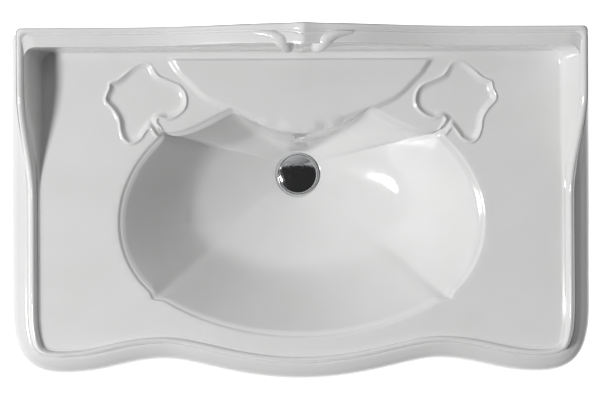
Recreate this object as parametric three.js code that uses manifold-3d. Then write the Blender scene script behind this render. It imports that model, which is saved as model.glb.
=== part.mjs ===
// Pedestal washbasin in glazed fireclay: a wide basin with a serpentine front, a moulded rim that sweeps up
// into side wings and a crested upstand, an oval bowl, two soap recesses and a plain tap ledge; a hollow
// pedestal open at the back; a push-to-open waste, a bottle trap and the fixings that hold it all.
// Millimetres. +X right, +Y towards the wall, +Z up; the origin is on the floor under the middle of the object.
import * as THREE from "three";
import { mergeVertices } from "three/addons/utils/BufferGeometryUtils.js";
import Module from "manifold-3d";

const wasm = await Module();
wasm.setup();

// ---------------------------------------------------------------- driving dimensions
const WIDTH = 850;
const DEPTH = 506;
const HALF = WIDTH / 2;
const WALL_Y = DEPTH / 2;
const FRONT_Y = -DEPTH / 2;

const DECK_Z = 840; // the flat deck around the bowl
const EDGE_Z = 778; // lowest edge of the rim moulding
const GAP = 0.3; // between neighbouring pieces

// Height of the rim bead above the deck, and of the crest above that.
const RIDGE = { front: 5, low: 10, wing: 55, crest: 46, crestHalf: 320, peak: 6, peakHalf: 30 };
const WING_SWEEP = [15, 165]; // Y range over which the side bead rises into the wing

const DRAIN = { x: 0, y: 48.5, hole: 23, dish: 36 };
const BOWL = { ledge: 11, ledgeDrop: 4, depth: 137, wall: 13 };
const BOWL_FALL = { steep: 1.72, gentle: 0.75, bend: 0.41, softness: 0.035 };
const LEDGE_Z = DECK_Z - BOWL.ledgeDrop;
const FLOOR_Z = LEDGE_Z - BOWL.depth;
const SEAT_Z = FLOOR_Z - 2; // recess that takes the waste flange
const BOSS_Z = 664; // underside of the boss around the waste hole
const UNDER_DECK_Z = DECK_Z - 15;

const HANGER = { x: 140, z: 748, hole: 8, stud: 5 };
const BACK_PLATE = { halfWidth: 300, bottom: 700, thick: 18 };
const OVERFLOW = { z: 792, bore: 8, boss: 15 };

const PEDESTAL = { y: 46, back: 150, wall: 14, top: 726 };
const TRAP = { pipe: 16, bore: 14.5, armZ: 541 };

// ---------------------------------------------------------------- materials
const paint = (color, roughness, metalness) => new THREE.MeshStandardMaterial({ color, roughness, metalness });
const MATERIAL = {
  china: paint(0xe9e9e7, 0.08, 0),
  chrome: paint(0xd8dadd, 0.06, 1),
  brass: paint(0xb5994f, 0.3, 1),
  steel: paint(0xa9abad, 0.35, 1),
  rubber: paint(0x1d1d1d, 0.7, 0),
  nylon: paint(0xe4e2da, 0.45, 0),
};

// ---------------------------------------------------------------- solids
const group = new THREE.Group();

function solidOf(geometry) {
  const bare = geometry.clone();
  bare.deleteAttribute("normal");
  bare.deleteAttribute("uv");
  const merged = mergeVertices(bare, 1e-3);
  return new wasm.Manifold(
    new wasm.Mesh({
      numProp: 3,
      vertProperties: merged.attributes.position.array,
      triVerts: new Uint32Array(merged.index.array),
    }),
  );
}

function geometryOf(solid) {
  const mesh = solid.getMesh();
  return new THREE.BufferGeometry()
    .setAttribute("position", new THREE.BufferAttribute(mesh.vertProperties, 3))
    .setIndex(new THREE.BufferAttribute(mesh.triVerts, 1));
}

function place(name, material, shape, position = [0, 0, 0]) {
  const mesh = new THREE.Mesh(shape.isBufferGeometry ? shape : geometryOf(shape), material);
  mesh.name = name;
  mesh.position.set(...position);
  group.add(mesh);
  return mesh;
}

// The biggest of the separate bodies a cut can leave.
function largest(solid) {
  return solid.decompose().sort((a, b) => b.volume() - a.volume())[0];
}

// A solid turned about the Z axis from [radius, z] points, which run counter-clockwise.
function turned(profile, segments = 16) {
  const points = [...profile, profile[0]].map(([r, z]) => new THREE.Vector2(r, z));
  return new THREE.LatheGeometry(points, segments).rotateX(Math.PI / 2);
}

function tube(outer, inner, low, high, segments = 16) {
  return turned([[inner, low], [outer, low], [outer, high], [inner, high]], segments);
}

function rod(radius, low, high, segments = 16) {
  return new THREE.CylinderGeometry(radius, radius, high - low, segments)
    .rotateX(Math.PI / 2)
    .translate(0, 0, (low + high) / 2);
}

function box(low, high) {
  const size = high.map((value, axis) => value - low[axis]);
  return new THREE.BoxGeometry(...size).translate(...low.map((value, axis) => value + size[axis] / 2));
}

// A hexagonal nut about the Z axis: across is the width over its flats.
function nut(across, bore, low, high, segments = 16) {
  const blank = rod(across / Math.sqrt(3), low, high, 6);
  return geometryOf(solidOf(blank).subtract(solidOf(rod(bore, low - 1, high + 1, segments))));
}

// A round bar of one radius along a smooth route.
function bar(radius, route, steps, sides) {
  const section = new THREE.Shape().absarc(0, 0, radius, 0, 2 * Math.PI);
  const extrudePath = new THREE.CatmullRomCurve3(route.map((point) => new THREE.Vector3(...point)));
  return new THREE.ExtrudeGeometry(section, { steps, extrudePath, bevelEnabled: false, curveSegments: sides / 2 });
}

// A closed skin over rings of equal length. Each ring joins the next, and the last joins the first.
function skin(rings) {
  const count = rings[0].length;
  const positions = rings.flatMap((ring) => ring.flatMap((point) => [point.x, point.y, point.z]));
  const index = [];
  rings.forEach((_, row) => {
    const next = (row + 1) % rings.length;
    for (let column = 0; column < count; column++) {
      const right = (column + 1) % count;
      const [a, b] = [row * count + column, row * count + right];
      const [c, d] = [next * count + right, next * count + column];
      index.push(a, b, c, a, c, d);
    }
  });
  return indexed(positions, index);
}

// A closed skin over rings that is capped at both ends about a middle point.
function cappedSkin(rings) {
  const count = rings[0].length;
  const middle = (ring) => ring.reduce((sum, point) => sum.add(point), new THREE.Vector3()).divideScalar(count);
  const points = [...rings.flat(), middle(rings[0]), middle(rings.at(-1))];
  const index = [];
  for (let column = 0; column < count; column++) {
    const right = (column + 1) % count;
    for (let row = 0; row < rings.length - 1; row++) {
      const low = row * count;
      const high = low + count;
      index.push(low + column, low + right, high + right, low + column, high + right, high + column);
    }
    const last = (rings.length - 1) * count;
    index.push(rings.length * count, right, column);
    index.push(rings.length * count + 1, last + column, last + right);
  }
  return indexed(points.flatMap((point) => [point.x, point.y, point.z]), index);
}

function indexed(positions, index) {
  return new THREE.BufferGeometry()
    .setAttribute("position", new THREE.BufferAttribute(new Float32Array(positions), 3))
    .setIndex(index);
}

// ---------------------------------------------------------------- outlines in plan
// Every closed outline is a right-hand half, from the back centre (v = 0) to the front centre (v = 1), with its
// mirror.
const STATIONS = [0, 0.16, 0.3, 0.32, 0.34, 0.6, 0.655, 0.665, 0.68, 0.73, 0.86, 1];
const STEPS = [4, 4, 1, 1, 4, 2, 1, 1, 2, 4, 4];
const { lerp, smoothstep } = THREE.MathUtils;
const plan = (x, y) => new THREE.Vector2(x, y);
const cubic = (...points) => new THREE.CubicBezierCurve(...points.map(([x, y]) => plan(x, y)));
const line = (from, to) => new THREE.LineCurve(plan(...from), plan(...to));

const LEVELS = STEPS.flatMap((steps, i) =>
  Array.from({ length: steps }, (_, k) => lerp(STATIONS[i], STATIONS[i + 1], k / steps)),
).concat(1);

function ringOf(pointAt) {
  const half = LEVELS.map(pointAt);
  const mirrored = half.slice(1, -1).reverse().map((point) => new THREE.Vector3(-point.x, point.y, point.z));
  return [...half, ...mirrored].reverse();
}

// The piece of a path of [end of its v range, curve] pairs that holds v, and how far along that piece v is.
function pieceAt(path, v) {
  const i = path.findIndex(([end]) => v <= end + 1e-9);
  const start = i ? path[i - 1][0] : 0;
  return [path[i][1], Math.min(1, (v - start) / (path[i][0] - start))];
}

// The serpentine front, from the end of the straight side to the front centre.
const CORNER_START_Y = -140;
const FRONT_PATH = [
  [0.73, cubic([HALF, CORNER_START_Y], [HALF, -212], [405, -243.7], [344, -243.7])],
  [0.86, cubic([344, -243.7], [284, -243.7], [253, -223.9], [198.5, -223.9])],
  [1, cubic([198.5, -223.9], [158, -223.9], [95, FRONT_Y], [0, FRONT_Y])],
];
const BACK_END = 0.3;
const BACK_CORNER_END = 0.34;
const SIDE_END = 0.6;

// Stations across the rim moulding, from the outer bottom edge over the bead to the deck: how far in each lies
// at the low side, the wing, the front and the back, its height, and its radius in the back corners.
const edge = (dz) => () => EDGE_Z + dz;
const bead = (dz) => (ridge) => DECK_Z + ridge + dz;
const deck = (dz) => () => DECK_Z + dz;
const riser = (share) => (ridge) => lerp(EDGE_Z + 51, DECK_Z + ridge - 9, share);
const RIM_STATIONS = [
  { low: 0, wing: 0, front: 0, back: 0, z: edge(0), corner: 6 },
  { low: 1.6, wing: 1.6, front: 1.4, back: 0, z: edge(15), corner: 6 },
  { low: 8, wing: 8, front: 7, back: 0, z: edge(33), corner: 6 },
  { low: 21, wing: 18, front: 19, back: 0, z: edge(46), corner: 6 },
  { low: 31, wing: 24, front: 28.5, back: 0, z: edge(49), corner: 6 },
  { low: 34, wing: 26, front: 31.5, back: 0, z: riser(0.8), corner: 6 },
  { low: 37.5, wing: 28, front: 33, back: 1, z: bead(-4), corner: 8 },
  { low: 41.5, wing: 31.5, front: 35.5, back: 6, z: bead(0), corner: 10 },
  { low: 46, wing: 38, front: 38, back: 27.5, z: bead(-2), corner: 14 },
  { low: 51, wing: 54, front: 42, back: 31, z: deck(0), corner: 22 },
];
const UNDER_STATIONS = [
  { low: 58, wing: 58, front: 47, back: 40, z: () => UNDER_DECK_Z, corner: 22 },
  { low: 40, wing: 42, front: 36, back: 24, z: edge(34), corner: 18 },
  { low: 11, wing: 11, front: 10, back: 17, z: edge(18), corner: 6 },
  { low: 9, wing: 9, front: 8, back: 16, z: edge(0), corner: 6 },
];

// The crest is a bell-shaped rise over the middle of the upstand, drawn up to a small point.
function crestRise(x) {
  const bell = 0.5 + 0.5 * Math.cos(Math.PI * Math.min(1, Math.abs(x) / RIDGE.crestHalf));
  return RIDGE.crest * bell ** 2 + RIDGE.peak * Math.max(0, 1 - Math.abs(x) / RIDGE.peakHalf);
}

const wingShare = (y) => smoothstep(y, ...WING_SWEEP);

function rimPoint(station, v) {
  const backY = WALL_Y - station.back;
  const cornerX = HALF - station.wing - station.corner;
  const cornerY = backY - station.corner;
  if (v <= BACK_END) {
    const x = (cornerX * v) / BACK_END;
    return new THREE.Vector3(x, backY, station.z(RIDGE.wing + crestRise(x)));
  }
  if (v <= BACK_CORNER_END) {
    const turn = ((v - BACK_END) / (BACK_CORNER_END - BACK_END)) * (Math.PI / 2);
    const [x, y] = [cornerX + station.corner * Math.sin(turn), cornerY + station.corner * Math.cos(turn)];
    return new THREE.Vector3(x, y, station.z(RIDGE.wing));
  }
  if (v <= SIDE_END) {
    const y = lerp(cornerY, CORNER_START_Y, (v - BACK_CORNER_END) / (SIDE_END - BACK_CORNER_END));
    const inset = lerp(station.low, station.wing, wingShare(y));
    return new THREE.Vector3(HALF - inset, y, station.z(lerp(RIDGE.low, RIDGE.wing, wingShare(y))));
  }
  const [curve, along] = pieceAt([[SIDE_END, null], ...FRONT_PATH], v);
  const share = smoothstep(v, SIDE_END, FRONT_PATH[0][0]);
  const [point, tangent] = [curve.getPoint(along), curve.getTangent(along)];
  point.addScaledVector(plan(tangent.y, -tangent.x), lerp(station.low, station.front, share));
  const ridge = lerp(RIDGE.low, RIDGE.front, (v - SIDE_END) / (1 - SIDE_END));
  return new THREE.Vector3(point.x, point.y, station.z(ridge));
}

// The mouth of the bowl at deck level: the tap ledge, the edge below a soap recess, the notch that drains that
// recess, the side lobe, a small pointed ear, and the front lobe.
const LEDGE_END = 0.16;
const EAR_START = 0.655;
const MOUTH_PATH = [
  [LEDGE_END, cubic([0, 107], [33, 107], [66, 119.7], [99, 145])],
  [0.3, cubic([99, 145], [130, 134], [168, 104], [196, 110])],
  [0.32, line([196, 110], [207, 117])],
  [0.34, line([207, 117], [203, 105])],
  [EAR_START, cubic([203, 105], [281.7, 36], [281.7, -68], [219, -122])],
  [0.665, line([219, -122], [216, -132])],
  [0.68, line([216, -132], [200, -134])],
  [1, cubic([200, -134], [150, -165], [80, -188.5], [0, -188.5])],
];
const MOUTH_CENTRE = plan(0, -20);

// The outside of the bowl follows a smoother outline that passes round the notch and the ear.
const BELLY_PATH = [
  [LEDGE_END, cubic([0, 107], [33, 107], [66, 125], [99, 138])],
  [0.34, cubic([99, 138], [135, 152], [178, 141], [207, 112])],
  [EAR_START, cubic([207, 112], [281.7, 36], [281.7, -68], [219, -122])],
  [1, cubic([219, -122], [160, -172], [80, -188.5], [0, -188.5])],
];

function mouthPoint(v, inset, path = MOUTH_PATH) {
  const [curve, along] = pieceAt(path, v);
  const point = curve.getPoint(along);
  return point.addScaledVector(MOUTH_CENTRE.clone().sub(point).normalize(), inset);
}

// The bowl runs from the inner edge of its ledge (u = 0) to the round dish of the waste (u = 1).
const ledgeWidth = (v) => lerp(2, BOWL.ledge, smoothstep(v, LEDGE_END - 0.06, LEDGE_END + 0.04));

// How far down the bowl is, from 0 to 1: a steep wall that bends into a gently falling floor.
function slopes(u) {
  const { steep, gentle, bend, softness } = BOWL_FALL;
  return steep * u - (steep - gentle) * softness * Math.log(1 + Math.exp((u - bend) / softness));
}

const fall = (u) => slopes(u) - (slopes(1) - 1) * u ** 3;

function bowlPoint(u, v, path = MOUTH_PATH) {
  const brink = mouthPoint(v, ledgeWidth(v), path);
  const outwards = plan(Math.sin(Math.PI * v), Math.cos(Math.PI * v));
  const dish = plan(DRAIN.x, DRAIN.y).addScaledVector(outwards, DRAIN.dish);
  const spot = brink.clone().lerp(dish, u);
  return { spot, outwards: brink.sub(dish), z: LEDGE_Z - BOWL.depth * fall(u) };
}

// A point on the outside of the bowl, one wall thickness away from the inside, square to it.
function bellyPoint(u, v, thickness) {
  const { spot, outwards, z } = bowlPoint(u, v, BELLY_PATH);
  const step = 0.01;
  const high = Math.min(1, u + step);
  const drop = (BOWL.depth * (fall(high) - fall(u - step))) / (high - u + step);
  const run = outwards.length();
  const slant = Math.hypot(drop, run);
  spot.addScaledVector(outwards.normalize(), (thickness * drop) / slant);
  return new THREE.Vector3(spot.x, spot.y, Math.min(z - (thickness * run) / slant, UNDER_DECK_Z - 5));
}

const circleAt = (radius, z) => (v) =>
  new THREE.Vector3(DRAIN.x + radius * Math.sin(Math.PI * v), DRAIN.y + radius * Math.cos(Math.PI * v), z);

function bellyRings(thickness) {
  const levels = [0.05, 0.16, 0.34, 0.58, 0.85];
  return levels.map((u) => ringOf((v) => bellyPoint(u, v, thickness)));
}

function bellyRoot(thickness, z) {
  const spread = 8;
  return ringOf((v) => bellyPoint(0.05, v, thickness + spread).setZ(z));
}

// ---------------------------------------------------------------- basin
function basinShell() {
  const rim = RIM_STATIONS.map((station) => ringOf((v) => rimPoint(station, v)));
  const mouth = [
    ringOf((v) => flat(mouthPoint(v, 0), DECK_Z)),
    ringOf((v) => flat(mouthPoint(v, ledgeWidth(v) * 0.35), LEDGE_Z + 0.5)),
  ];
  const bowl = [0, 0.1, 0.24, 0.42, 0.62, 0.82, 1].map((u) =>
    ringOf((v) => flat(bowlPoint(u, v).spot, bowlPoint(u, v).z)),
  );
  const waste = [
    ringOf(circleAt(33.5, SEAT_Z)),
    ringOf(circleAt(DRAIN.hole, SEAT_Z)),
    ringOf(circleAt(DRAIN.hole, BOSS_Z)),
    ringOf(circleAt(42, BOSS_Z)),
    ringOf(circleAt(46, BOSS_Z + 16)),
  ];
  const belly = bellyRings(BOWL.wall).reverse();
  const under = UNDER_STATIONS.map((station) => ringOf((v) => rimPoint(station, v)));
  return skin([...rim, ...mouth, ...bowl, ...waste, ...belly, bellyRoot(BOWL.wall, UNDER_DECK_Z), ...under]);
}

const flat = (point, z) => new THREE.Vector3(point.x, point.y, z);

// The plain ledge for a tap, raised a little above the deck, from the upstand to the back edge of the bowl.
const TAP_LEDGE_RISE = 6;

function tapLedge() {
  const shape = new THREE.Shape();
  const brink = Array.from({ length: 13 }, (_, i) => mouthPoint((LEDGE_END * i) / 12, 0.4));
  const side = new THREE.CubicBezierCurve(plan(99, 145), plan(140, 152), plan(172, 172), plan(189, 222));
  const right = [...brink, ...side.getPoints(10).slice(1)];
  shape.setFromPoints([...right, ...right.slice(1).reverse().map(({ x, y }) => plan(-x, y))]);
  const slab = new THREE.ExtrudeGeometry(shape, { depth: TAP_LEDGE_RISE + 8, bevelEnabled: false });
  return slab.translate(0, 0, DECK_Z - 8);
}

// A leaf-shaped soap recess beside the tap ledge; its lowest lobe drains through the notch in the bowl's mouth.
const LEAF = [
  [232, 204], [250, 192], [271, 183], [277, 156], [263, 138], [258, 116], [246, 98], [230, 97], [216, 115],
  [205, 121], [196, 136], [182, 131], [167, 144], [166, 164], [180, 175], [199, 184], [214, 202],
];

const LEAF_CENTRE = plan(220, 152);
const LEAF_BEAD = { halfWidth: 3.5, rise: 2.5 };

function leafOutline(side, offset) {
  const outline = LEAF.map(([x, y]) => plan(x, y)).map((point) => {
    const outwards = point.clone().sub(LEAF_CENTRE);
    return point.add(outwards.setLength(offset));
  });
  return side < 0 ? outline.map(({ x, y }) => plan(-x, y)) : outline.reverse();
}

function slab(outline, hole, low, high) {
  const shape = new THREE.Shape(outline);
  if (hole) shape.holes.push(new THREE.Path(hole));
  return new THREE.ExtrudeGeometry(shape, { depth: high - low, bevelEnabled: false }).translate(0, 0, low);
}

function withSoapRecess(body, side) {
  const { halfWidth, rise } = LEAF_BEAD;
  const inner = leafOutline(side, -halfWidth);
  const border = slab(leafOutline(side, halfWidth), inner, DECK_Z - 3, DECK_Z + rise);
  const recess = slab(inner, null, DECK_Z - 4, DECK_Z + 20);
  return body.add(solidOf(border)).subtract(solidOf(recess));
}

const OVERFLOW_ROUTE = [
  [0, 118, OVERFLOW.z], [0, 127, 780], [0, 127, 740], [0, 115, 704], [0, 96, 685],
];

function basin() {
  const { halfWidth, bottom, thick } = BACK_PLATE;
  const plate = box([-halfWidth, WALL_Y - thick, bottom], [halfWidth, WALL_Y, EDGE_Z + 40]);
  const overflowBoss = bar(OVERFLOW.boss, [[0, 104, OVERFLOW.z], ...OVERFLOW_ROUTE, [0, 84, 682]], 8, 8);
  const overflowBore = bar(OVERFLOW.bore, [[0, 84, OVERFLOW.z], ...OVERFLOW_ROUTE, [0, 64, 682]], 8, 8);
  let body = solidOf(basinShell()).add(solidOf(tapLedge())).add(solidOf(plate)).add(solidOf(overflowBoss));
  body = body.subtract(solidOf(overflowBore));
  for (const side of [-1, 1]) {
    const hole = rod(HANGER.hole, -40, 40).rotateX(Math.PI / 2).translate(side * HANGER.x, WALL_Y, HANGER.z);
    body = withSoapRecess(body.subtract(solidOf(hole)), side);
  }
  return body;
}

// ---------------------------------------------------------------- pedestal
// Levels of the column: height and half-width. The front is as far from the column's axis as the sides are.
const COLUMN = [
  [0, 128], [26, 128], [30, 121], [44, 123], [60, 116], [84, 102], [130, 94], [300, 86],
  [470, 87], [570, 95], [640, 113], [646, 120], [660, 121], [668, 117], [PEDESTAL.top, 123],
];

function columnHalf(halfWidth, back) {
  const front = Array.from({ length: 7 }, (_, i) => {
    const turn = (i / 6) * (Math.PI / 2);
    const squareness = 0.85;
    const [across, out] = [Math.cos(turn) ** squareness, Math.sin(turn) ** squareness];
    return plan(halfWidth * across, PEDESTAL.y - halfWidth * out);
  });
  return [plan(halfWidth, back), ...front];
}

// The section of the column is a U: round the outside one way, and back round the inside.
function columnRing(halfWidth, z, wall) {
  const outside = columnHalf(halfWidth, PEDESTAL.back);
  const inside = columnHalf(halfWidth - wall, PEDESTAL.back);
  const whole = (half) => [...half, ...half.slice(0, -1).reverse().map(({ x, y }) => plan(-x, y))];
  return [...whole(inside), ...whole(outside).reverse()].map((point) => flat(point, z));
}

function columnShell(levels, wall) {
  const rings = levels.map(([z, halfWidth]) => columnRing(halfWidth, z, wall));
  const count = rings[0].length;
  const points = rings.flat();
  const index = [];
  for (let row = 0; row < rings.length - 1; row++) {
    for (let column = 0; column < count; column++) {
      const [a, b] = [row * count + column, row * count + ((column + 1) % count)];
      index.push(a, b, b + count, a, b + count, a + count);
    }
  }
  const strip = count / 2;
  const last = (rings.length - 1) * count;
  for (let i = 0; i < strip - 1; i++) {
    const [a, b, c, d] = [i, i + 1, count - 2 - i, count - 1 - i];
    index.push(a, c, b, a, d, c);
    index.push(last + a, last + b, last + c, last + a, last + c, last + d);
  }
  return indexed(points.flatMap((point) => [point.x, point.y, point.z]), index);
}

// The outside of the bowl as a solid, grown by a clearance, to shape what stands under it.
function bellySolid(clearance) {
  const thickness = BOWL.wall + clearance;
  const boss = [ringOf(circleAt(44 + clearance, BOSS_Z - clearance)), ringOf(circleAt(47 + clearance, BOSS_Z + 16))];
  const belly = [...bellyRings(thickness).reverse(), bellyRoot(thickness, UNDER_DECK_Z)];
  return solidOf(cappedSkin([...boss, ...belly]));
}

const PEDESTAL_SCREW = { x: 97, y: 112, hole: 4.5, lug: 12 };

function pedestal() {
  let body = solidOf(columnShell(COLUMN, PEDESTAL.wall)).subtract(bellySolid(2.6));
  for (const side of [-1, 1]) {
    const { x, y, hole: radius, lug: height } = PEDESTAL_SCREW;
    const lug = box([-18, -18, 0], [18, 18, height]).translate(side * (x + 3), y, 0);
    const hole = rod(radius, -5, 30).translate(side * x, y, 0);
    body = body.add(solidOf(lug)).subtract(solidOf(hole));
  }
  return largest(body);
}

// A soft strip in the joint between the pedestal and the bowl.
function pedestalSeal() {
  const levels = COLUMN.slice(-3).map(([z, halfWidth]) => [z, halfWidth - 2]);
  const strip = solidOf(columnShell(levels, PEDESTAL.wall - 4));
  const joint = strip.intersect(bellySolid(2.3)).subtract(bellySolid(GAP));
  return largest(joint);
}

// ---------------------------------------------------------------- waste
// Everything on the waste's axis is drawn about Z at the height where it stands.
const WASTE = { thread: 20.6, bore: 17, low: 600, flange: 32, flangeLow: SEAT_Z + 2.1 };
const STEM = { radius: 4.8, collar: 8, low: 672 };
const CARTRIDGE = { low: 651.3, floor: 654, high: 694, outer: 9, bore: 5.4 };
const BRIDGE = { low: 644, high: 651, half: 5 };
const CAP_Z = WASTE.flangeLow + 3.5;

function wasteBody() {
  const { thread, bore, low, flange, flangeLow } = WASTE;
  const shell = turned(
    [
      [bore, low],
      [thread, low],
      [thread, flangeLow],
      [flange, flangeLow],
      [flange, flangeLow + 1.5],
      [flange - 1.5, flangeLow + 3.1],
      [24, flangeLow + 1.8],
      [bore, flangeLow - 2],
    ],
    24,
  );
  const bridge = box([-bore - 1, -BRIDGE.half, BRIDGE.low], [bore + 1, BRIDGE.half, BRIDGE.high]);
  const slots = box([-30, -5, SEAT_Z - 25], [30, 5, SEAT_Z - 10]);
  let body = solidOf(shell).add(solidOf(bridge)).subtract(solidOf(rod(4.3, BRIDGE.low - 1, BRIDGE.high + 1)));
  for (const turn of [0, Math.PI / 2]) body = body.subtract(solidOf(slots.clone().rotateZ(turn)));
  return body;
}

function stopperCap() {
  return turned(
    [
      [0, CAP_Z],
      [28.5, CAP_Z],
      [29.5, CAP_Z + 0.8],
      [29.3, CAP_Z + 1.8],
      [26, CAP_Z + 3.6],
      [18, CAP_Z + 5.6],
      [9, CAP_Z + 6.7],
      [0, CAP_Z + 7],
    ],
    24,
  );
}

function stopperStem() {
  const { radius, collar, low } = STEM;
  const top = CAP_Z - GAP;
  return turned([[0, low], [radius, low], [radius, top - 3], [collar, top - 2], [collar, top], [0, top]], 16);
}

function stopperCartridge() {
  const { low, floor, high, outer, bore } = CARTRIDGE;
  const shank = 4;
  const foot = BRIDGE.low - 5;
  const outside = [[0, foot], [shank, foot], [shank, low], [outer, low], [outer, high]];
  return turned([...outside, [bore, high], [bore, floor], [0, floor]], 16);
}

function cartridgeSpring() {
  const wire = 0.6;
  const [low, high] = [CARTRIDGE.floor + wire + GAP, STEM.low - wire - GAP];
  const [turns, perTurn] = [4, 8];
  const route = Array.from({ length: turns * perTurn + 1 }, (_, i) => {
    const angle = (2 * Math.PI * i) / perTurn;
    return [4.3 * Math.cos(angle), 4.3 * Math.sin(angle), lerp(low, high, i / (turns * perTurn))];
  });
  return bar(wire, route, turns * perTurn, 6);
}

// ---------------------------------------------------------------- bottle trap
// A coupling nut: a threaded skirt, and a lip that draws a pipe's collar or a washer against its neighbour.
function couplingNut(across, thread, pipe, low, high, lip) {
  const hollow = solidOf(rod(thread, low + lip, high + 1, 24)).add(solidOf(rod(pipe, low - 1, high)));
  return geometryOf(solidOf(rod(across / Math.sqrt(3), low, high, 6)).subtract(hollow));
}

function trapInletPipe() {
  const { pipe, bore } = TRAP;
  return turned([[bore, 470], [pipe, 470], [pipe, 595], [19.6, 595], [19.6, 597], [bore, 597]]);
}

function trapBody() {
  const { pipe, armZ } = TRAP;
  const free = pipe + GAP;
  const neck = [[27, 560], [20, 561], [20, 577], [0, 577]];
  const outside = turned([[0, 508], [29, 508], [29, 523], [31, 525], [31, 553], ...neck]);
  const inside = turned([[0, 500], [27, 500], [27, 552], [24, 557], [free, 557], [free, 580], [0, 580]]);
  const outlet = rod(19, 20, 52).rotateX(-Math.PI / 2).translate(0, 0, armZ);
  const outletBore = rod(free, 15, 60).rotateX(-Math.PI / 2).translate(0, 0, armZ);
  return solidOf(outside).add(solidOf(outlet)).subtract(solidOf(inside)).subtract(solidOf(outletBore));
}

const trapCup = () =>
  turned([
    [0, 440], [22, 440], [28, 446], [29, 452], [29, 498], [33, 502], [33, 520], [29.3, 520],
    [29.3, 505.4], [27, 505.4], [27, 454], [25, 447], [20, 443], [0, 443],
  ]);

// Pieces on the horizontal arm are drawn along Z from the trap's axis and then laid towards the wall.
const layDown = (geometry) => geometry.rotateX(-Math.PI / 2).rotateY(Math.PI);
const ARM = { start: 30, end: WALL_Y - DRAIN.y, outletEnd: 52 };

const wallFlange = () => {
  const [pipe, end] = [TRAP.pipe + GAP, ARM.end];
  const face = [[19, end - 14], [20, end - 9], [27, end - 7], [34, end - 2]];
  return turned([[pipe, end - 14], ...face, [34, end], [pipe, end]]);
};

// ---------------------------------------------------------------- fixings
// A wall stud and what is on it, drawn along Z from the wall plane (0) towards the front.
function hangerPieces() {
  const { stud } = HANGER;
  const free = stud + GAP;
  const front = BACK_PLATE.thick;
  const sleeve = [[free, GAP], [HANGER.hole - GAP, GAP], [HANGER.hole - GAP, front + GAP], [13, front + GAP]];
  const cap = [[free, 33.5], [8, 33.5], [8, 44], [5, 48], [0, 49], [0, 46.5], [free - 1, 45], [free, 43]];
  return {
    stud: [MATERIAL.steel, rod(stud, 0, 42)],
    sleeve: [MATERIAL.nylon, turned([...sleeve, [13, front + 3.5], [free, front + 3.5]], 16)],
    washer: [MATERIAL.steel, tube(14, free, front + 3.8, front + 6, 16)],
    nut: [MATERIAL.steel, nut(17, free, front + 6.3, front + 15.2)],
    cap: [MATERIAL.nylon, turned(cap, 16)],
  };
}

// A floor screw through a lug of the pedestal, drawn about Z from the floor up.
function floorPieces() {
  const top = PEDESTAL_SCREW.lug;
  const head = [[7, top + 2.8], [7, top + 5.5], [4, top + 7.5], [0, top + 8]];
  const screw = [[0, 0], [3.8, 0], [3.8, top + 2.8], ...head];
  const outer = [[9, top + 2.8], [12, top + 2.8], [11.5, top + 8], [8, top + 12], [0, top + 13.5]];
  const cap = [...outer, [0, top + 10.5], [6.5, top + 10], [9, top + 7]];
  return {
    screw: [MATERIAL.steel, turned(screw, 16)],
    washer: [MATERIAL.nylon, tube(12, 4.2, top + GAP, top + 2.5, 16)],
    cap: [MATERIAL.chrome, turned(cap, 16)],
  };
}

// ---------------------------------------------------------------- assembly
const AT_WASTE = [DRAIN.x, DRAIN.y, 0];
const AT_ARM = [DRAIN.x, DRAIN.y, TRAP.armZ];
const SIDES = [["left", -1], ["right", 1]];

place("basin", MATERIAL.china, basin());
place("pedestal", MATERIAL.china, pedestal());
place("pedestal_seal", MATERIAL.rubber, pedestalSeal());

place("waste_body", MATERIAL.chrome, wasteBody(), AT_WASTE);
place("flange_seal", MATERIAL.rubber, tube(31, 21, SEAT_Z + GAP, SEAT_Z + 1.8, 24), AT_WASTE);
place("basin_gasket", MATERIAL.rubber, tube(36, 21, BOSS_Z - 10, BOSS_Z - GAP, 24), AT_WASTE);
place("waste_washer", MATERIAL.nylon, tube(33, 21, BOSS_Z - 12.5, BOSS_Z - 10.3, 24), AT_WASTE);
place("waste_locknut", MATERIAL.brass, nut(54, 21, BOSS_Z - 27, BOSS_Z - 12.8, 24), AT_WASTE);
place("stopper_cap", MATERIAL.chrome, stopperCap(), AT_WASTE);
place("stopper_seal", MATERIAL.rubber, tube(25, 18.5, CAP_Z - 1.1, CAP_Z - GAP), AT_WASTE);
place("stopper_stem", MATERIAL.brass, stopperStem(), AT_WASTE);
place("stopper_cartridge", MATERIAL.brass, stopperCartridge(), AT_WASTE);
place("cartridge_spring", MATERIAL.steel, cartridgeSpring(), AT_WASTE);

place("trap_inlet_washer", MATERIAL.rubber, tube(20, TRAP.bore, 597.3, WASTE.low - GAP), AT_WASTE);
place("trap_inlet_nut", MATERIAL.chrome, couplingNut(46, 21, TRAP.pipe + GAP, 591, 614, 3.7), AT_WASTE);
place("trap_inlet_pipe", MATERIAL.chrome, trapInletPipe(), AT_WASTE);
place("trap_top_washer", MATERIAL.rubber, tube(20, TRAP.pipe + GAP, 577.3, 580), AT_WASTE);
const topNut = couplingNut(46, 20.3, TRAP.pipe + GAP, -584, -564, 3.7).rotateX(Math.PI);
place("trap_top_nut", MATERIAL.chrome, topNut, AT_WASTE);
place("trap_body", MATERIAL.chrome, trapBody(), AT_WASTE);
place("trap_cup", MATERIAL.chrome, trapCup(), AT_WASTE);
place("cup_seal", MATERIAL.rubber, tube(29, 27.2, 505.7, 507.7), AT_WASTE);

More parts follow.
